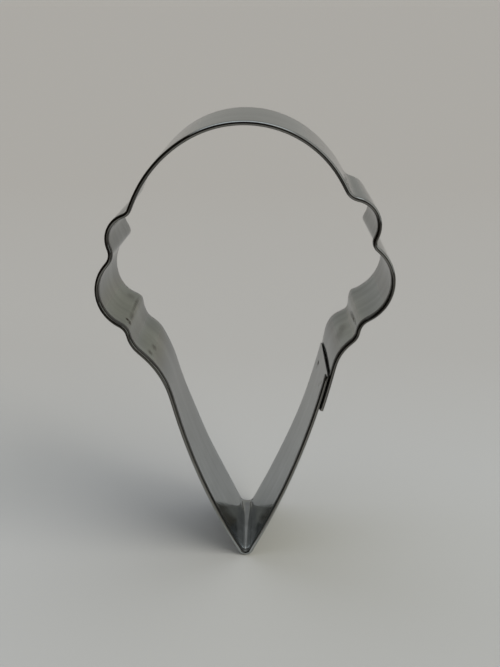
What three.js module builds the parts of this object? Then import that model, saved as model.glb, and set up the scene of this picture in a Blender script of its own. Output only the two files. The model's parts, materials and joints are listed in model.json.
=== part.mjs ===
import * as THREE from 'three';

// Cookie cutter in the outline of an ice-cream cone. One tinplate strip stands on edge and is bent to
// the outline, with a safety hem folded inward along its front edge and a plain cutting edge behind.
// Its two ends lap on the right cone side, where two spot welds hold them together.
// Millimetres and degrees. X runs to the right, Y from the hem to the cutting edge, Z up the cone.
// The outline is the strip's outer face, and it is measured from the apex, the point where the two
// cone sides would meet under the round tip. Headings turn from +X towards +Z.

// Strip
const stripWidth = 25.0; // from the front of the hem to the cutting edge
const sheetThickness = 0.36;
const hemSlot = 0.28; // air left inside the folded hem
const hemDepth = 1.5; // from the front of the hem back to the raw edge of its flap

// Scoop
const scoopRadius = 24.15;
const scoopRise = 82.3; // centre of the scoop above the apex
const scoopShift = -0.8; // centre of the scoop to the right of the apex
const leftFlankRadius = 28.65; // the scoop's left flank is flatter than its crown
const leftFlankHeading = 120; // where the flank leaves the crown, seen from the scoop's centre

// Left edge, from the scoop down. Each lobe's heading is taken from the centre of the arc above it,
// its overlap is how far the two circles run into each other, and its crease is the inside bend
// between them.
const leftRuffleRadius = 6.05;
const leftRuffleHeading = 173.6;
const leftRuffleOverlap = 8.5;
const leftRuffleCrease = 1.55;
const leftLobeRadius = 9.25;
const leftLobeHeading = -88;
const leftLobeOverlap = 3.7;
const leftLobeCrease = 2.85;
const leftBumpRadius = 7.55;
const leftBumpHeading = -62.4;
const leftBumpOverlap = 6.9;
const leftBumpCrease = 2.85;
const leftSideRadius = 156; // bow of the left cone side
const leftSideOverlap = 8.7;
const leftShoulderCrease = 20.2;

// Right edge, from the scoop down, in the same way
const rightRuffleRadius = 6.35;
const rightRuffleHeading = 5.5;
const rightRuffleOverlap = 7.6;
const rightRuffleCrease = 2.85;
const rightLobeRadius = 9.85;
const rightLobeHeading = -89.7;
const rightLobeOverlap = 3.7;
const rightLobeCrease = 1.55;
const rightBumpRadius = 4.15;
const rightBumpHeading = -97.5;
const rightBumpOverlap = 3.2;
const rightBumpCrease = 3.25;
const rightSideRadius = 184; // bow of the right cone side
const rightSideOverlap = 4.9;
const rightShoulderCrease = 9.95;

// Tip
const tipRadius = 2.1;

// Lapped ends on the right side, measured from the apex
const lapStart = 45.1; // to the end of the outer lap
const lapLength = 8.4; // from there to the end of the inner lap
const lapClearance = 0.06; // between the two hems where they pass each other

// Spot welds between the two laps
const weldDiameter = 2.8;
const weldSpacing = 11.2; // between the two welds, across the strip
const weldClearance = 0.05; // from a weld's face to the sheet beside it

// Fineness of the solid
const turnPerStep = 8; // largest bend between two stations of the strip
const lengthPerStep = 5; // largest length between two stations
const foldFacets = 4; // facets round each face of the fold
const weldSegments = 32;

const hemThickness = 2 * sheetThickness + hemSlot;
const lapOffset = hemThickness + lapClearance;
const apex = new THREE.Vector2(0, 0);

function headingTo(from, to) {
  return Math.atan2(to.y - from.y, to.x - from.x);
}

function pointAlong(origin, heading, distance) {
  return new THREE.Vector2(Math.cos(heading), Math.sin(heading)).multiplyScalar(distance).add(origin);
}

// Point at given distances from two centres. Side 1 lies left of the way from the first to the second
// centre, and side -1 right of it.
function meetingPoint(first, firstDistance, second, secondDistance, side) {
  const span = first.distanceTo(second);
  const along = (firstDistance ** 2 - secondDistance ** 2 + span ** 2) / (2 * span);
  const across = Math.sqrt(firstDistance ** 2 - along ** 2);
  const way = headingTo(first, second);
  return pointAlong(pointAlong(first, way, along), way + Math.PI / 2, side * across);
}

// Round part of the outline that runs into the circle above it
function lobe(above, heading, overlap, radius) {
  const distance = above.radius + radius - overlap;
  const center = pointAlong(above.center, THREE.MathUtils.degToRad(heading), distance);
  return { center, radius, convex: true };
}

// Bowed cone side, an arc through the apex that runs into the bump above it
function coneSide(bump, overlap, radius, side) {
  const center = meetingPoint(apex, radius, bump.center, radius + bump.radius - overlap, side);
  return { center, radius, convex: true };
}

// Inside bend that touches the two round parts beside it from outside
function crease(above, below, radius, side) {
  const toAbove = above.radius + radius;
  const toBelow = below.radius + radius;
  const center = meetingPoint(above.center, toAbove, below.center, toBelow, side);
  return { center, radius, convex: false };
}

// Heading, from the centre of one arc, of the point where it touches the next or the last one
function touchHeading(arc, other) {
  const nested = arc.convex === other.convex;
  if (nested && arc.radius < other.radius) {
    return headingTo(other.center, arc.center);
  }
  return headingTo(arc.center, other.center);
}

// Heading, from the centre of the right cone side, of its point at a distance from the apex
function rightSideHeading(side, distance) {
  return headingTo(side.center, meetingPoint(apex, distance, side.center, side.radius, -1));
}

// The round parts of the outline
const crown = { center: new THREE.Vector2(scoopShift, scoopRise), radius: scoopRadius, convex: true };
const flankHeading = THREE.MathUtils.degToRad(leftFlankHeading);
const flankCenter = pointAlong(crown.center, flankHeading, scoopRadius - leftFlankRadius);
const leftFlank = { center: flankCenter, radius: leftFlankRadius, convex: true };

const leftRuffle = lobe(leftFlank, leftRuffleHeading, leftRuffleOverlap, leftRuffleRadius);
const leftLobe = lobe(leftRuffle, leftLobeHeading, leftLobeOverlap, leftLobeRadius);
const leftBump = lobe(leftLobe, leftBumpHeading, leftBumpOverlap, leftBumpRadius);
const leftSide = coneSide(leftBump, leftSideOverlap, leftSideRadius, -1);

const rightRuffle = lobe(crown, rightRuffleHeading, rightRuffleOverlap, rightRuffleRadius);
const rightLobe = lobe(rightRuffle, rightLobeHeading, rightLobeOverlap, rightLobeRadius);
const rightBump = lobe(rightLobe, rightBumpHeading, rightBumpOverlap, rightBumpRadius);
const outerLap = coneSide(rightBump, rightSideOverlap, rightSideRadius, 1);
const innerLap = { center: outerLap.center, radius: rightSideRadius - lapOffset, convex: true };

const leftInset = leftSideRadius - tipRadius;
const rightInset = innerLap.radius - tipRadius;
const tipCenter = meetingPoint(leftSide.center, leftInset, innerLap.center, rightInset, 1);
const tip = { center: tipCenter, radius: tipRadius, convex: true };

// The strip's run, clockwise from the front: down the inner lap, round the tip, up the left edge,
// over the scoop and down the right edge to the end of the outer lap
const run = [
  innerLap,
  tip,
  leftSide,
  crease(leftBump, leftSide, leftShoulderCrease, -1),
  leftBump,
  crease(leftLobe, leftBump, leftBumpCrease, -1),
  leftLobe,
  crease(leftRuffle, leftLobe, leftLobeCrease, -1),
  leftRuffle,
  crease(leftFlank, leftRuffle, leftRuffleCrease, -1),
  leftFlank,
  crown,
  crease(crown, rightRuffle, rightRuffleCrease, 1),
  rightRuffle,
  crease(rightRuffle, rightLobe, rightLobeCrease, 1),
  rightLobe,
  crease(rightLobe, rightBump, rightBumpCrease, 1),
  rightBump,
  crease(rightBump, outerLap, rightShoulderCrease, 1),
  outerLap,
];

const innerEnd = rightSideHeading(outerLap, lapStart + lapLength);
const outerEnd = rightSideHeading(outerLap, lapStart);

const curves = run.map((arc, index) => {
  const from = index === 0 ? innerEnd : touchHeading(arc, run[index - 1]);
  const to = index === run.length - 1 ? outerEnd : touchHeading(arc, run[index + 1]);
  const { center, radius } = arc;
  return new THREE.EllipseCurve(center.x, center.y, radius, radius, from, to, arc.convex);
});

// Stations along each arc, close together where the strip bends sharply
const stepCounts = curves.map((curve) => {
  const length = curve.getLength();
  const turn = THREE.MathUtils.radToDeg(length / curve.xRadius);
  return Math.ceil(Math.max(turn / turnPerStep, length / lengthPerStep));
});
const totalSteps = stepCounts.reduce((sum, count) => sum + count, 0);

// The run as one curve in the XZ plane that advances by one station per step
class StripRun extends THREE.Curve {
  locate(t) {
    let station = t * totalSteps;
    let index = 0;
    while (index < curves.length - 1 && station > stepCounts[index]) {
      station -= stepCounts[index];
      index += 1;
    }
    return { curve: curves[index], fraction: Math.min(station / stepCounts[index], 1) };
  }

  getPoint(t, target = new THREE.Vector3()) {
    const { curve, fraction } = this.locate(t);
    const point = curve.getPoint(fraction);
    return target.set(point.x, 0, point.y);
  }

  getTangent(t, target = new THREE.Vector3()) {
    const { curve, fraction } = this.locate(t);
    const tangent = curve.getTangent(fraction);
    return target.set(tangent.x, 0, tangent.y);
  }

  getUtoTmapping(u) {
    return u;
  }
}

// Section of the strip: x runs forward to the hem, y inward from the outer face
function stripSection() {
  const front = stripWidth / 2;
  const foldRadius = hemThickness / 2;
  const foldCenter = front - foldRadius;
  const flapEnd = front - hemDepth;
  const section = new THREE.Shape();
  section.moveTo(-front, sheetThickness);
  section.lineTo(-front, 0);
  section.absarc(foldCenter, foldRadius, foldRadius, -Math.PI / 2, Math.PI / 2, false);
  section.lineTo(flapEnd, hemThickness);
  section.lineTo(flapEnd, hemThickness - sheetThickness);
  section.absarc(foldCenter, foldRadius, foldRadius - sheetThickness, Math.PI / 2, -Math.PI / 2, true);
  section.closePath();
  return section;
}

const steel = new THREE.MeshStandardMaterial({ color: 0xb2b4b0, roughness: 0.28, metalness: 1 });
const weldSteel = new THREE.MeshStandardMaterial({ color: 0x6e6c68, roughness: 0.55, metalness: 1 });

function cutterBand() {
  const geometry = new THREE.ExtrudeGeometry(stripSection(), {
    steps: totalSteps,
    curveSegments: foldFacets / 2,
    extrudePath: new StripRun(),
  });
  const band = new THREE.Mesh(geometry, steel);
  band.name = 'cutter_band';
  return band;
}

// Weld nugget in the gap between the two laps, half-way along their overlap
function spotWeld(name, depth) {
  const gap = lapOffset - sheetThickness;
  const radius = weldDiameter / 2;
  const geometry = new THREE.CylinderGeometry(radius, radius, gap - 2 * weldClearance, weldSegments);
  geometry.rotateZ(-Math.PI / 2);
  const heading = rightSideHeading(outerLap, lapStart + lapLength / 2);
  const middle = outerLap.radius - sheetThickness - gap / 2;
  const place = pointAlong(outerLap.center, heading, middle);
  const weld = new THREE.Mesh(geometry, weldSteel);
  weld.name = name;
  weld.position.set(place.x, depth, place.y);
  weld.rotation.y = -heading;
  return weld;
}

const assembly = new THREE.Group();
const band = cutterBand();
assembly.add(band);
assembly.add(spotWeld('spot_weld_front', -weldSpacing / 2));
assembly.add(spotWeld('spot_weld_rear', weldSpacing / 2));

// Stand the tip on the ground with the origin under the middle of the cutter
const bounds = new THREE.Box3().setFromObject(band);
assembly.position.set(-(bounds.min.x + bounds.max.x) / 2, 0, -bounds.min.z);

const cutter = new THREE.Group();
cutter.add(assembly);

export default cutter;
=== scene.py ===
import json
import math

import bpy
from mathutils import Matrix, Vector

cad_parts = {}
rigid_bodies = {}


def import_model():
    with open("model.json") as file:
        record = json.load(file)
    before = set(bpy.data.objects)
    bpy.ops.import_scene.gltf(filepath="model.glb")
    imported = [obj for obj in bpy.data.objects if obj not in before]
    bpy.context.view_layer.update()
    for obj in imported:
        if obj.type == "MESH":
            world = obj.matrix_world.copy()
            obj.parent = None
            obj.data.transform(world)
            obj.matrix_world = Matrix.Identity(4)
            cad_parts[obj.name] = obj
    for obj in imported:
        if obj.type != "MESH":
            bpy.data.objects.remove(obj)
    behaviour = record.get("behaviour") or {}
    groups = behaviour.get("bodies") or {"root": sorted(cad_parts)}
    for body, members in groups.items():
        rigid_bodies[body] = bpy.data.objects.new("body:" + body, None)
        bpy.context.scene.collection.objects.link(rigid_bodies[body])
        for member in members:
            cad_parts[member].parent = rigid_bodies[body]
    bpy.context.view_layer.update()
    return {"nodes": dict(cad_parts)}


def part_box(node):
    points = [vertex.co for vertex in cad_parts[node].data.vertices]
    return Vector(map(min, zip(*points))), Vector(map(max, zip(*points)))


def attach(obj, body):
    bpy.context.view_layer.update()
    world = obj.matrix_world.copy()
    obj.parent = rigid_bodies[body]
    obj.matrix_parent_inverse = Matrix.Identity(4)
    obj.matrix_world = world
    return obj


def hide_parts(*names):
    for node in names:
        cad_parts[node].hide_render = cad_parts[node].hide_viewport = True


# Cookie cutter in the outline of an ice-cream cone. Metres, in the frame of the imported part: X to the
# right, Y from the hem back to the cutting edge, Z up from the tip.
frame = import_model()

# Tinplate strip, shape
# A strip of tinned steel, rolled bright, stands on edge and is bent round a former to the outline. Its
# front edge is folded inward into a safety hem. The back edge is left as it was sheared, to cut dough.
mm = 0.001
merge_distance = 0.001 * mm
flat_limit = math.radians(0.2)
sheared_corner = math.radians(60)
corner_rounding = 0.04 * mm
weld_nodes = ["spot_weld_front", "spot_weld_rear"]
dimple_reach = 1.6 * mm  # half the width of the finer mesh round each weld
hem_back = -10.6 * mm  # just behind the raw edge of the hem's flap
bend_levels = 2
rounding_segments = 2
full_crease = 1.0

bpy.ops.object.select_all(action="DESELECT")
strip = bpy.data.objects.new("tinplate_strip", frame["nodes"]["cutter_band"].data.copy())
bpy.context.scene.collection.objects.link(strip)
strip.select_set(True)
bpy.context.view_layer.objects.active = strip
bpy.ops.object.mode_set(mode="EDIT")
bpy.ops.mesh.select_all(action="SELECT")
bpy.ops.mesh.remove_doubles(threshold=merge_distance)
bpy.ops.mesh.tris_convert_to_quads(face_threshold=flat_limit, shape_threshold=sheared_corner)
bpy.ops.mesh.select_all(action="DESELECT")
bpy.ops.object.mode_set(mode="OBJECT")


def nudge_selected(shift, reach, falloff="SMOOTH"):
    bpy.ops.object.mode_set(mode="EDIT")
    bpy.ops.transform.translate(
        value=shift,
        use_proportional_edit=True,
        use_proportional_connected=True,
        proportional_size=reach,
        proportional_edit_falloff=falloff,
    )
    bpy.ops.mesh.select_all(action="DESELECT")
    bpy.ops.object.mode_set(mode="OBJECT")


# The cutting edge has no hem to stiffen it and is bent a little out of line: where along the edge (X, Z),
# how far (X, Z) and how much of the edge follows, in millimetres.
knocks = [
    ((18.95, 46.89), (0.20, -0.05), 34),
    ((18.95, 46.89), (-0.33, -1.31), 1),
    ((13.2, 27.0), (0.16, -0.05), 14),
    ((-2.4, 2.4), (-0.34, 0.10), 7),
    ((0.9, 0.5), (0.34, 0.0), 3),
    ((-6.9, 11.4), (0.22, 0.10), 13),
    ((-17.2, 41.2), (-0.70, -0.20), 17),
    ((-21.4, 49.5), (0.44, 0.38), 4),
    ((-26.1, 55.8), (0.36, 0.16), 5),
    ((-31.9, 63.0), (0.22, 0.06), 12),
    ((-32.0, 70.0), (0.74, -0.12), 14),
    ((-29.5, 74.7), (0.58, -0.10), 4),
    ((-28.8, 81.0), (0.85, -0.50), 5),
    ((-26.8, 83.3), (0.25, -0.40), 3),
    ((-20.6, 92.4), (0.36, -0.28), 13),
    ((21.4, 90.0), (0.36, 0.20), 8),
    ((28.6, 83.6), (-0.22, -0.09), 6),
    ((29.3, 75.9), (-0.25, -0.22), 4),
    ((29.0, 61.0), (-0.12, 0.14), 10),
    ((25.9, 59.2), (-0.22, 0.20), 1.2),
    ((25.6, 57.9), (-0.30, 0.14), 3),
    ((23.9, 54.7), (0.52, -0.46), 3),
    ((20.9, 50.0), (-0.75, 0.25), 9),
    ((19.4, 45.5), (-0.28, 0.07), 5),
]
back = max(vertex.co.y for vertex in strip.data.vertices)
edge_points = {
    vertex.index: vertex.co.copy()
    for vertex in strip.data.vertices
    if vertex.co.y > back - merge_distance
}


def nearest_edge_point(place_x, place_z):
    spot = Vector((place_x * mm, back, place_z * mm))
    return min(edge_points, key=lambda index: (edge_points[index] - spot).length)


for place, (shift_x, shift_z), reach in knocks:
    strip.data.vertices[nearest_edge_point(*place)].select = True
    nudge_selected((shift_x * mm, 0, shift_z * mm), reach * mm)

# Four of its corners are bent to a point, with values in the order that knocks has
pointed_corners = [
    ((-28.92, 74.82), (0.12, -0.36), 2.2),
    ((27.93, 77.54), (-0.28, 0.0), 2.2),
    ((-26.35, 57.49), (0.16, 0.12), 1.8),
    ((25.66, 58.92), (-0.06, 0.05), 1.2),
]
sheet_reach = 0.38 * mm  # takes in both faces of the sheet
for place, (shift_x, shift_z), reach in pointed_corners:
    nearest = nearest_edge_point(*place)
    for index in edge_points:
        beside = edge_points[index] - edge_points[nearest]
        strip.data.vertices[index].select = beside.length < sheet_reach
    bpy.ops.object.mode_set(mode="EDIT")
    bpy.ops.transform.vert_crease(value=full_crease)
    bpy.ops.object.mode_set(mode="OBJECT")
    nudge_selected((shift_x * mm, 0, shift_z * mm), reach * mm, "LINEAR")

# Rows of points behind the hem and beside each weld
rows = [hem_back]
for weld in weld_nodes:
    weld_low, weld_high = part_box(weld)
    middle = (weld_low.y + weld_high.y) / 2
    rows += [middle - dimple_reach, middle + dimple_reach]
bpy.ops.object.mode_set(mode="EDIT")
for row in rows:
    bpy.ops.mesh.select_all(action="SELECT")
    bpy.ops.mesh.bisect(plane_co=(0, row, 0), plane_no=(0, 1, 0))
bpy.ops.mesh.select_mode(type="FACE")
bpy.ops.mesh.select_all(action="DESELECT")
bpy.ops.object.mode_set(mode="OBJECT")

# Three materials by face: the tin, the bare sheared steel with painted shade that makes it nearly black,
# and the tin inside the fold, painted dark as shade. The fold's raw edge faces back just in front of
# hem_back, and the faces next to it are its flap and the turn inside. The two ends of the strip are
# hidden meanwhile, so that they aren't taken for the fold.
strip.data.materials.clear()
for slot in ("bright_tinplate", "sheared_steel_and_painted_shade", "fold_painted_shade"):
    strip.data.materials.append(bpy.data.materials.new(slot))
lap_out = Vector((0.970, 0, -0.242))
lap_up = Vector((0.242, 0, 0.970))
inner_end = Vector((18.6, 0, 46.0)) * mm
outer_end = Vector((17.6, 0, 38.5)) * mm
end_zone = 2.2 * mm
facing = 0.8  # a face looks along a way if its normal's share of that way is larger
facing_squarely = 0.99
for face in strip.data.polygons:
    across = Vector((face.center.x, 0, face.center.z))
    near_end = min((across - inner_end).length, (across - outer_end).length) < end_zone
    face.hide = near_end and abs(face.normal.dot(lap_up)) > facing_squarely
    face.select = face.normal.y > facing and face.center.y < hem_back and not face.hide
bpy.ops.object.mode_set(mode="EDIT")
bpy.ops.mesh.select_more()
bpy.ops.mesh.select_more()
strip.active_material_index = strip.data.materials.find("fold_painted_shade")
bpy.ops.object.material_slot_assign()
bpy.ops.mesh.reveal(select=False)
bpy.ops.mesh.select_all(action="DESELECT")
bpy.ops.mesh.select_mode(type="VERT")
bpy.ops.object.mode_set(mode="OBJECT")

# Behind the hem the outer lap is pressed in against the inner one, and the bend at the tip is pinched
# sharper: where across the strip, back to which Y, how far and how much of the sheet follows. The hem
# and the cutting edge are hidden meanwhile, so that they stay as they are.
presses = [
    (Vector((19.55, 0, 45.55)) * mm, -7 * mm, lap_out * -0.44 * mm, 9 * mm),
    (Vector((18.69, 0, 42.01)) * mm, -7 * mm, lap_out * -0.12 * mm, 6 * mm),
    (Vector((-1.70, 0, 1.20)) * mm, 8 * mm, Vector((0.28, 0, 0.12)) * mm, 3 * mm),
    (Vector((1.80, 0, 1.19)) * mm, 8 * mm, Vector((-0.28, 0, 0.12)) * mm, 3 * mm),
]
press_spot = 0.45 * mm  # takes in both faces of the sheet
for spot, last_row, shift, reach in presses:
    for vertex in strip.data.vertices:
        vertex.hide = vertex.co.y < hem_back - merge_distance or vertex.co.y > back - merge_distance
        beside = Vector((vertex.co.x, 0, vertex.co.z)) - spot
        pressed = beside.length < press_spot and vertex.co.y < last_row
        vertex.select = pressed and not vertex.hide
    nudge_selected(shift, reach)
bpy.ops.object.mode_set(mode="EDIT")
bpy.ops.mesh.reveal(select=False)
bpy.ops.mesh.select_mode(type="EDGE")
bpy.ops.mesh.edges_select_sharp(sharpness=sheared_corner)
bpy.ops.transform.edge_crease(value=full_crease)
bpy.ops.mesh.select_mode(type="VERT")
bpy.ops.mesh.select_all(action="DESELECT")
bpy.ops.object.mode_set(mode="OBJECT")

bends = strip.modifiers.new("smooth_bends", "SUBSURF")
bends.levels = bend_levels
bends.render_levels = bend_levels
bpy.ops.object.modifier_apply(modifier=bends.name)

# The welding electrodes left a pit on the inner lap and a shallow print on the outer one: middle in
# millimetres, way into the sheet, radius and depth.
electrode_marks = [
    ((17.7, 7.1, 42.4), lap_out, 0.5 * mm, 0.12 * mm),
    ((17.6, -5.4, 42.7), lap_out, 0.7 * mm, 0.06 * mm),
    ((19.0, 5.6, 42.4), -lap_out, 1.5 * mm, 0.09 * mm),
    ((19.0, -5.6, 42.4), -lap_out, 1.5 * mm, 0.09 * mm),
]
mark_cuts = 5
for place, inward, radius, depth in electrode_marks:
    middle = Vector(place) * mm
    for face in strip.data.polygons:
        away = face.center - middle
        face.select = away.length < dimple_reach and face.normal.dot(inward) < -facing
    bpy.ops.object.mode_set(mode="EDIT")
    bpy.ops.mesh.select_mode(type="FACE")
    bpy.ops.mesh.subdivide(number_cuts=mark_cuts)
    bpy.ops.mesh.select_mode(type="VERT")
    bpy.ops.object.mode_set(mode="OBJECT")
    marked = [vertex for vertex in strip.data.vertices if vertex.select]
    nearest = min(marked, key=lambda vertex: (vertex.co - middle).length).index
    bpy.ops.object.mode_set(mode="EDIT")
    bpy.ops.mesh.select_all(action="DESELECT")
    bpy.ops.object.mode_set(mode="OBJECT")
    strip.data.vertices[nearest].select = True
    nudge_selected(inward * depth, radius)

bpy.ops.object.shade_smooth()
corners = strip.modifiers.new("sheared_corners", "BEVEL")
corners.width = corner_rounding
corners.segments = rounding_segments
corners.limit_method = "ANGLE"
corners.angle_limit = sheared_corner
corners.harden_normals = True
bpy.ops.object.modifier_apply(modifier=corners.name)

# Tinplate strip, finish
# Bright tin over steel, with fine rolling streaks that run along the strip, cloudy patches in the tin,
# a few shallow scratches from use, and a tan film and brown stains where water stood in the bends.
tin_dark = (0.343, 0.358, 0.360)
tin_light = (0.453, 0.473, 0.476)
tan_dark = (0.350, 0.362, 0.322)
tan_light = (0.463, 0.479, 0.427)
brown_dark = (0.055, 0.045, 0.036)
brown_light = (0.115, 0.095, 0.070)
mark_core = 0.35  # a mark is at its full strength up to this share of its half size
mark_rim = 1.1


def metal_shader(material):
    material.use_nodes = True
    shader = material.node_tree.nodes["Principled BSDF"]
    shader.inputs["Metallic"].default_value = 1.0
    return material.node_tree, shader


def object_place(tree, scale, middle=(0, 0, 0)):
    place = tree.nodes.new("ShaderNodeTexCoord")
    mapping = tree.nodes.new("ShaderNodeMapping")
    mapping.inputs["Scale"].default_value = scale
    mapping.inputs["Location"].default_value = [-at * by for at, by in zip(middle, scale)]
    tree.links.new(place.outputs["Object"], mapping.inputs["Vector"])
    return mapping.outputs["Vector"]


def stretched_noise(tree, per_metre, detail=3.0):
    noise = tree.nodes.new("ShaderNodeTexNoise")
    noise.inputs["Scale"].default_value = 1.0
    noise.inputs["Detail"].default_value = detail
    tree.links.new(object_place(tree, per_metre), noise.inputs["Vector"])
    return noise.outputs["Fac"]


def spread(tree, value, low, high, out_low, out_high):
    ranged = tree.nodes.new("ShaderNodeMapRange")
    ranged.inputs["From Min"].default_value = low
    ranged.inputs["From Max"].default_value = high
    ranged.inputs["To Min"].default_value = out_low
    ranged.inputs["To Max"].default_value = out_high
    tree.links.new(value, ranged.inputs["Value"])
    return ranged.outputs["Result"]


def combined(tree, operation, first, second):
    math_node = tree.nodes.new("ShaderNodeMath")
    math_node.operation = operation
    tree.links.new(first, math_node.inputs[0])
    tree.links.new(second, math_node.inputs[1])
    return math_node.outputs["Value"]


def toned(tree, value, dark, light):
    ramp = tree.nodes.new("ShaderNodeValToRGB")
    ramp.color_ramp.elements[0].color = (*dark, 1.0)
    ramp.color_ramp.elements[1].color = (*light, 1.0)
    tree.links.new(value, ramp.inputs["Fac"])
    return ramp.outputs["Color"]


def mixed_colour(tree, share, first, second):
    mix = tree.nodes.new("ShaderNodeMix")
    mix.data_type = "RGBA"
    tree.links.new(share, mix.inputs["Factor"])
    tree.links.new(first, mix.inputs["A"])
    tree.links.new(second, mix.inputs["B"])
    return mix.outputs["Result"]


# Share of a mark at each place: its strength in the middle, ragged at its edge, 0 outside
def mark(tree, raggedness, middle_mm, half_sizes_mm, strength):
    middle = [value * mm for value in middle_mm]
    scale = [1 / (value * mm) for value in half_sizes_mm]
    length = tree.nodes.new("ShaderNodeVectorMath")
    length.operation = "LENGTH"
    tree.links.new(object_place(tree, scale, middle), length.inputs[0])
    ragged = combined(tree, "ADD", length.outputs["Value"], raggedness)
    return spread(tree, ragged, mark_core, mark_rim, strength, 0.0)


def strongest_mark(tree, raggedness, places):
    share = mark(tree, raggedness, *places[0])
    for place in places[1:]:
        share = combined(tree, "MAXIMUM", share, mark(tree, raggedness, *place))
    return share


def bumped(tree, shader, relief, strength, distance):
    bump = tree.nodes.new("ShaderNodeBump")
    bump.inputs["Strength"].default_value = strength
    bump.inputs["Distance"].default_value = distance
    tree.links.new(relief, bump.inputs["Height"])
    tree.links.new(bump.outputs["Normal"], shader.inputs["Normal"])


tree, shader = metal_shader(bpy.data.materials["bright_tinplate"])
shader.inputs["Specular Tint"].default_value = (0.75, 0.75, 0.75, 1.0)
fine_streaks = stretched_noise(tree, (40, 5200, 40), 4.0)
broad_streaks = stretched_noise(tree, (12, 420, 12), 3.0)
clouds = stretched_noise(tree, (160, 160, 160), 4.0)
specks = stretched_noise(tree, (1900, 1900, 1900), 3.0)
tone = combined(
    tree, "ADD",
    spread(tree, fine_streaks, 0.3, 0.7, -0.2, 0.2),
    spread(tree, broad_streaks, 0.35, 0.65, -0.05, 0.65),
)
tone = combined(tree, "ADD", tone, spread(tree, clouds, 0.35, 0.65, 0.0, 0.4))
bright_tin = toned(tree, tone, tin_dark, tin_light)

# Stains and film: middle and half sizes in millimetres (X, Y, Z), and strength
raggedness = spread(tree, specks, 0.3, 0.7, -0.15, 0.15)
stain_places = [
    ((-26.7, -5.9, 58.0), (0.6, 0.8, 0.6), 1.0),
    ((-26.2, -6.2, 57.4), (0.8, 1.1, 0.8), 0.70),
    ((-26.3, -2.3, 57.6), (0.7, 3.0, 0.8), 0.40),
    ((-26.4, 5.0, 57.9), (0.55, 6.5, 0.55), 0.50),
    ((-27.9, 8.5, 59.0), (1.2, 1.6, 1.2), 0.30),
    ((-21.3, -2.6, 50.1), (0.9, 1.4, 1.0), 0.45),
    ((-21.7, -6.9, 50.5), (0.9, 1.2, 0.9), 0.50),
    ((25.0, -2.0, 57.2), (0.5, 1.0, 0.6), 1.0),
    ((22.6, 0.6, 53.9), (1.4, 3.0, 1.4), 0.32),
    ((21.9, -1.9, 53.3), (1.8, 3.5, 1.6), 0.25),
    ((17.7, 7.1, 42.4), (1.2, 1.3, 0.8), 1.0),
    ((17.3, 7.8, 41.0), (0.5, 0.7, 0.5), 0.40),
    ((17.3, -3.4, 41.2), (0.5, 1.0, 0.7), 0.35),
    ((17.6, -5.4, 42.7), (0.5, 0.8, 0.6), 0.45),
]
stains = strongest_mark(tree, raggedness, stain_places)
brown = toned(tree, clouds, brown_dark, brown_light)
film_places = [
    ((-28.5, 0.0, 59.5), (8.0, 17.0, 8.0), 1.0),
    ((-21.5, -1.0, 50.5), (5.5, 15.0, 6.0), 0.9),
    ((24.5, 0.0, 56.5), (6.0, 15.0, 6.0), 0.5),
]
film = strongest_mark(tree, raggedness, film_places)
tan = toned(tree, tone, tan_dark, tan_light)
filmed_tin = mixed_colour(tree, film, bright_tin, tan)
tree.links.new(mixed_colour(tree, stains, filmed_tin, brown), shader.inputs["Base Color"])

gloss = combined(
    tree, "ADD",
    spread(tree, fine_streaks, 0.3, 0.7, 0.01, 0.05),
    spread(tree, clouds, 0.3, 0.7, 0.05, 0.09),
)
gloss = combined(tree, "ADD", gloss, spread(tree, stains, 0.0, 1.0, 0.0, 0.35))
tree.links.new(gloss, shader.inputs["Roughness"])

# Scratches are thin lines where a stretched noise passes its middle
scratch_noise = stretched_noise(tree, (70, 330, 110), 1.0)
scratch_ridge = combined(
    tree, "MINIMUM",
    spread(tree, scratch_noise, 0.494, 0.5, 0.0, 1.0),
    spread(tree, scratch_noise, 0.5, 0.506, 1.0, 0.0),
)
scratches = combined(tree, "MULTIPLY", scratch_ridge, spread(tree, clouds, 0.5, 0.65, 0.0, 1.0))
relief = combined(tree, "SUBTRACT", fine_streaks, spread(tree, scratches, 0.0, 1.0, 0.0, 0.8))
bumped(tree, shader, relief, 0.12, 0.02 * mm)
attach(strip, "root")
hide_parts("cutter_band")

# Tinplate strip, sheared edges
# The cutting edge and the two ends of the strip show the bare steel that the shear cut through, dull and
# darker than the tin. It is painted nearly black, as painted shade of the narrow gap at the seam.
steel_and_shade_dark = (0.008, 0.008, 0.007)
steel_and_shade_light = (0.05, 0.047, 0.044)
tree, shader = metal_shader(bpy.data.materials["sheared_steel_and_painted_shade"])
grain = stretched_noise(tree, (2500, 900, 2500), 3.0)
tree.links.new(toned(tree, grain, steel_and_shade_dark, steel_and_shade_light), shader.inputs["Base Color"])
tree.links.new(spread(tree, grain, 0.3, 0.7, 0.45, 0.65), shader.inputs["Roughness"])
bumped(tree, shader, grain, 0.4, 0.03 * mm)
steel_and_shade_slot = strip.data.materials.find("sheared_steel_and_painted_shade")
for face in strip.data.polygons:
    across = Vector((face.center.x, 0, face.center.z))
    at_inner_end = face.normal.dot(lap_up) > facing and (across - inner_end).length < end_zone
    at_outer_end = face.normal.dot(lap_up) < -facing and (across - outer_end).length < end_zone
    if at_inner_end or at_outer_end or face.normal.y > facing:
        face.material_index = steel_and_shade_slot

# Tinplate strip, inside of the fold
# The folded edge lies against the wall. Its flap and the turn inside are painted dark, dull tin, as
# painted shade in the crevice between the flap and the wall.
fold_shade_dark = (0.03, 0.03, 0.028)
fold_shade_light = (0.17, 0.168, 0.16)
tree, shader = metal_shader(bpy.data.materials["fold_painted_shade"])
fold_shade_noise = stretched_noise(tree, (300, 2500, 300), 3.0)
tree.links.new(toned(tree, fold_shade_noise, fold_shade_dark, fold_shade_light), shader.inputs["Base Color"])
tree.links.new(spread(tree, fold_shade_noise, 0.3, 0.7, 0.25, 0.45), shader.inputs["Roughness"])
bumped(tree, shader, fold_shade_noise, 0.3, 0.02 * mm)

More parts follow.
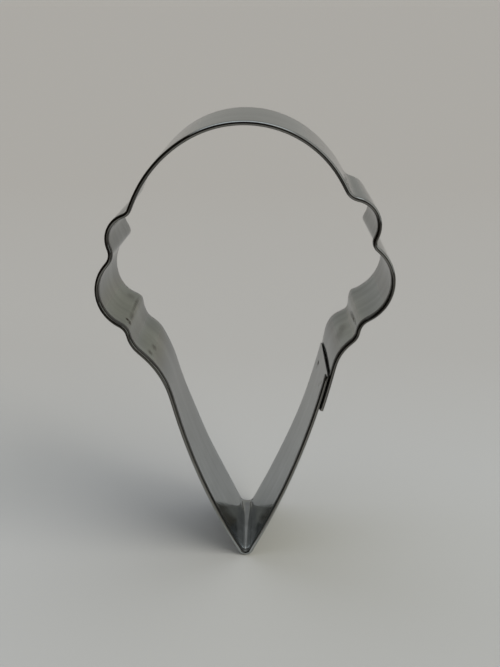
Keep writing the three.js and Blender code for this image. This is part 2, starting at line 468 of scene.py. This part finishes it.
# Spot welds
# Two nuggets of steel melted together between the laps by the spot welder, squeezed out a little round
# the rim and scaled blue and brown by the heat.
weld_metal = bpy.data.materials.new("scaled_weld_metal")
heat_blue = (0.06, 0.065, 0.09)
heat_brown = (0.20, 0.15, 0.10)
tree, shader = metal_shader(weld_metal)
scale_patches = stretched_noise(tree, (1400, 1400, 1400), 4.0)
tree.links.new(toned(tree, scale_patches, heat_blue, heat_brown), shader.inputs["Base Color"])
tree.links.new(spread(tree, scale_patches, 0.3, 0.7, 0.35, 0.65), shader.inputs["Roughness"])
bumped(tree, shader, scale_patches, 0.5, 0.04 * mm)
nugget_thickness = 0.42 * mm
nugget_shift = -0.16 * mm  # the outer lap is pressed in, nearer than in the solid
nugget_radius = 1.3 * mm
nugget_segments = 48
rim_swell = 1.07
rim_rounding = 0.05 * mm
rim_corner = math.radians(15)
smooth_limit = math.radians(40)
for weld in weld_nodes:
    weld_low, weld_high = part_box(weld)
    middle = (weld_low + weld_high) / 2 + lap_out * nugget_shift
    bpy.ops.object.select_all(action="DESELECT")
    bpy.ops.mesh.primitive_cylinder_add(
        vertices=nugget_segments,
        radius=nugget_radius,
        depth=nugget_thickness,
        location=middle,
        rotation=lap_out.to_track_quat("Z", "Y").to_euler(),
    )
    nugget = bpy.context.object
    nugget.name = weld.replace("spot_weld", "weld_nugget")
    bpy.ops.object.transform_apply(location=True, rotation=True, scale=True)
    bpy.ops.object.mode_set(mode="EDIT")
    bpy.ops.mesh.select_all(action="SELECT")
    bpy.ops.mesh.bisect(plane_co=middle, plane_no=lap_out)
    bpy.ops.transform.resize(value=(rim_swell, rim_swell, rim_swell), center_override=middle)
    bpy.ops.object.mode_set(mode="OBJECT")
    rim = nugget.modifiers.new("rounded_rim", "BEVEL")
    rim.width = rim_rounding
    rim.segments = rounding_segments
    rim.limit_method = "ANGLE"
    rim.angle_limit = rim_corner
    bpy.ops.object.modifier_apply(modifier=rim.name)
    bpy.ops.object.shade_smooth_by_angle(angle=smooth_limit)
    nugget.data.materials.append(weld_metal)
    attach(nugget, "root")
    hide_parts(weld)

# Studio floor
# A plain pale table top that takes the cutter's soft shadow. It runs on behind and rises a little at
# its far end. Its colour is painted a little darker and warmer toward the back, as painted shade.
floor_size = 40.0
floor_rise = (0, 5.0, 0.5)
table_front = (0.432, 0.442, 0.428)
table_middle = (0.406, 0.406, 0.387)
table_back = (0.391, 0.383, 0.358)
front_y = 0.03
middle_y = 0.12
back_y = 0.45
bpy.ops.object.select_all(action="DESELECT")
bpy.ops.mesh.primitive_plane_add(size=floor_size, location=(0, 0, 0))
floor = bpy.context.object
floor.name = "studio_floor"
bpy.ops.object.mode_set(mode="EDIT")
bpy.ops.mesh.select_mode(type="EDGE")
bpy.ops.mesh.select_all(action="DESELECT")
bpy.ops.object.mode_set(mode="OBJECT")
for edge in floor.data.edges:
    edge.select = min(floor.data.vertices[index].co.y for index in edge.vertices) > 0
bpy.ops.object.mode_set(mode="EDIT")
bpy.ops.mesh.extrude_region_move(TRANSFORM_OT_translate={"value": floor_rise})
bpy.ops.object.mode_set(mode="OBJECT")


def matt_shader(material, roughness):
    material.use_nodes = True
    shader = material.node_tree.nodes["Principled BSDF"]
    shader.inputs["Roughness"].default_value = roughness
    shader.inputs["Specular IOR Level"].default_value = 0.0
    return material.node_tree, shader


def split_place(tree, place):
    parts = tree.nodes.new("ShaderNodeSeparateXYZ")
    tree.links.new(place, parts.inputs["Vector"])
    return parts.outputs


table_top = bpy.data.materials.new("pale_table_top")
tree, shader = matt_shader(table_top, 0.9)
table_y = split_place(tree, object_place(tree, (1, 1, 1)))["Y"]
near = toned(tree, spread(tree, table_y, front_y, middle_y, 0.0, 1.0), table_front, table_middle)
far = toned(tree, spread(tree, table_y, middle_y, back_y, 0.0, 1.0), table_middle, table_back)
beyond = spread(tree, table_y, middle_y - mm, middle_y + mm, 0.0, 1.0)
tree.links.new(mixed_colour(tree, beyond, near, far), shader.inputs["Base Color"])
floor.data.materials.append(table_top)

# Dark surround
# Dark cards on the table beside the picture, with dark walls at the left, in front and, lower, at the
# right.
# Their dark is painted shade standing in for the shaded room round the table, and their paler parts are
# painted reflections of the lit table. Only the bright metal sees them, and its hem takes its dark lines
# from them.
card_half_width = 0.40
card_front = -0.34
card_back = 0.84
pale_front = -0.025
pale_half_width = 0.052
pale_widening = 0.42
left_wall = 0.65
front_wall = 0.70
right_rim = 0.05
right_wall = 0.20
right_wall_from = 0.25
card_lift = 0.5 * mm
card_dark = (0.012, 0.010, 0.008)
card_light = (0.36, 0.34, 0.30)
bpy.ops.object.select_all(action="DESELECT")
bpy.ops.mesh.primitive_plane_add(size=1.0, location=(0, 0, 0))
card = bpy.context.object
card.name = "dark_surround"
bpy.ops.object.mode_set(mode="EDIT")
bpy.ops.mesh.select_all(action="SELECT")
bpy.ops.transform.resize(value=(2 * card_half_width, card_back - card_front, 1))
bpy.ops.transform.translate(value=(0, (card_back + card_front) / 2, card_lift))
pale_sides = [
    ((-pale_half_width, 0, 0), (1, pale_widening, 0)),
    ((pale_half_width, 0, 0), (1, -pale_widening, 0)),
    ((0, pale_front, 0), (0, 1, 0)),
    ((0, right_wall_from, 0), (0, 1, 0)),
]
for on_side, across_side in pale_sides:
    bpy.ops.mesh.select_all(action="SELECT")
    bpy.ops.mesh.bisect(plane_co=on_side, plane_no=across_side)
bpy.ops.mesh.select_mode(type="FACE")
bpy.ops.mesh.select_all(action="DESELECT")
bpy.ops.object.mode_set(mode="OBJECT")
for face in card.data.polygons:
    inside = abs(face.center.x) < pale_half_width + pale_widening * face.center.y
    face.select = inside and face.center.y > pale_front
bpy.ops.object.mode_set(mode="EDIT")
bpy.ops.mesh.delete(type="FACE")
bpy.ops.mesh.select_mode(type="EDGE")
# Which way the wall's side of the card faces, how far out it is, from and to which Y, and how high
walls = [
    (Vector((-1, 0, 0)), card_half_width, card_front, card_back, left_wall),
    (Vector((0, -1, 0)), -card_front, card_front, card_back, front_wall),
    (Vector((1, 0, 0)), card_half_width, card_front, right_wall_from, right_rim),
    (Vector((1, 0, 0)), card_half_width, right_wall_from, card_back, right_wall),
]
for outward, distance, start, stop, height in walls:
    bpy.ops.mesh.select_all(action="DESELECT")
    bpy.ops.object.mode_set(mode="OBJECT")
    for edge in card.data.edges:
        ends = [card.data.vertices[index].co for index in edge.vertices]
        on_rim = min(end.dot(outward) for end in ends) > distance - mm
        edge_middle = (ends[0].y + ends[1].y) / 2
        in_run = start < edge_middle + mm and edge_middle - mm < stop
        edge.select = on_rim and in_run and max(end.z for end in ends) < mm
    bpy.ops.object.mode_set(mode="EDIT")
    bpy.ops.mesh.extrude_region_move(TRANSFORM_OT_translate={"value": (0, 0, height)})
bpy.ops.object.mode_set(mode="OBJECT")
black_card = bpy.data.materials.new("black_card")
tree, shader = matt_shader(black_card, 0.95)
# The card is paler in a path toward the front, near the cutter, on the right and at its back end: painted
# reflections of the lit table
card_noise = spread(tree, stretched_noise(tree, (20, 20, 20)), 0.3, 0.7, -0.1, 0.1)
painted_lit_path = mark(tree, card_noise, (0, -60, 0), (60, 330, 60), 0.7)
painted_lit_nearby = mark(tree, card_noise, (15, -20, 0), (115, 110, 60), 0.6)
card_place = split_place(tree, object_place(tree, (1, 1, 1)))
painted_lit_right = combined(
    tree, "MULTIPLY",
    spread(tree, card_place["X"], 0.05, 0.12, 0.0, 0.5),
    spread(tree, card_place["Y"], -0.14, -0.04, 0.45, 1.0),
)
painted_lit_back_end = spread(tree, card_place["Y"], 0.25, 0.55, 0.0, 0.3)
card_tone = combined(tree, "MAXIMUM", painted_lit_path, painted_lit_nearby)
card_tone = combined(tree, "MAXIMUM", card_tone, painted_lit_right)
card_tone = combined(tree, "MAXIMUM", card_tone, painted_lit_back_end)
tree.links.new(toned(tree, card_tone, card_dark, card_light), shader.inputs["Base Color"])
card.data.materials.append(black_card)
card.visible_camera = False
card.visible_diffuse = False
card.visible_shadow = False

# Light
# A soft light on the right in front and a cool one overhead, in a pale room that is dimmer on the left.
# The metal sees the room, a pale glow above and a faint warm one on the right, not the lamps.
wall_low = (0.415, 0.413, 0.385)
wall_high = (0.360, 0.358, 0.332)
ceiling_low = (0.26, 0.26, 0.255)
ceiling_high = (0.27, 0.27, 0.265)
room_left = (0.314, 0.300, 0.248)
room_right = (0.604, 0.600, 0.508)


# Turn and height of a lamp, and the width of its disc, are in degrees
def soft_sun(name, turn, height, strength, width, colour, in_metal, on_table=True):
    data = bpy.data.lights.new(name, "SUN")
    data.energy = strength
    data.angle = math.radians(width)
    data.color = colour
    lamp = bpy.data.objects.new(name, data)
    bpy.context.scene.collection.objects.link(lamp)
    around = math.radians(turn)
    up = math.radians(height)
    towards = Vector((math.cos(around) * math.cos(up), math.sin(around) * math.cos(up), math.sin(up)))
    lamp.rotation_euler = towards.to_track_quat("Z", "Y").to_euler()
    lamp.visible_glossy = in_metal
    lamp.visible_diffuse = on_table


soft_sun("window_right", -28, 35, 1.74, 50, (1.0, 0.95, 0.91), False)
soft_sun("overhead", 125, 70, 1.05, 70, (0.66, 0.71, 1.0), False)
soft_sun("sky_glow", 90, 64, 0.70, 58, (0.90, 0.97, 1.0), True, False)
soft_sun("warm_glow", -5, 42, 0.30, 70, (1.0, 0.95, 0.84), True)
room = bpy.data.worlds.new("pale_room")
room.use_nodes = True
tree = room.node_tree
rays = tree.nodes.new("ShaderNodeLightPath")
seen = combined(tree, "MAXIMUM", rays.outputs["Is Camera Ray"], rays.outputs["Is Glossy Ray"])
seen = combined(tree, "MAXIMUM", seen, rays.outputs["Is Transmission Ray"])
direction = split_place(tree, tree.nodes.new("ShaderNodeTexCoord").outputs["Generated"])
wall = toned(tree, spread(tree, direction["Z"], 0.0, 0.25, 0.0, 1.0), wall_low, wall_high)
ceiling = toned(tree, direction["Z"], ceiling_low, ceiling_high)
backdrop = mixed_colour(tree, spread(tree, direction["Z"], 0.30, 0.46, 0.0, 1.0), wall, ceiling)
across = spread(tree, direction["X"], -1.0, 1.0, 0.0, 1.0)
diffuse_level = toned(tree, across, room_left, room_right)
background = tree.nodes["Background"]
tree.links.new(mixed_colour(tree, seen, diffuse_level, backdrop), background.inputs["Color"])
background.inputs["Strength"].default_value = 1.0
bpy.context.scene.world = room
bpy.context.scene.view_settings.view_transform = "Standard"

# Camera
# Level from side to side and a little above the cutter, looking down at it as in the photograph. The
# lens is written in pixels of the picture, as it was measured.
image_height_px = 667
focus_px = 900
sensor = 36.0
look_down = math.radians(20.31)
turn_left = math.radians(0.94)
camera_data = bpy.data.cameras.new("camera")
camera_data.sensor_width = sensor
camera_data.lens = sensor * focus_px / image_height_px
camera_data.clip_start = 0.01
camera = bpy.data.objects.new("camera", camera_data)
bpy.context.scene.collection.objects.link(camera)
camera.location = (0.004265, -0.19796, 0.12591)
camera.rotation_euler = (math.pi / 2 - look_down, 0, turn_left)
bpy.context.scene.camera = camera
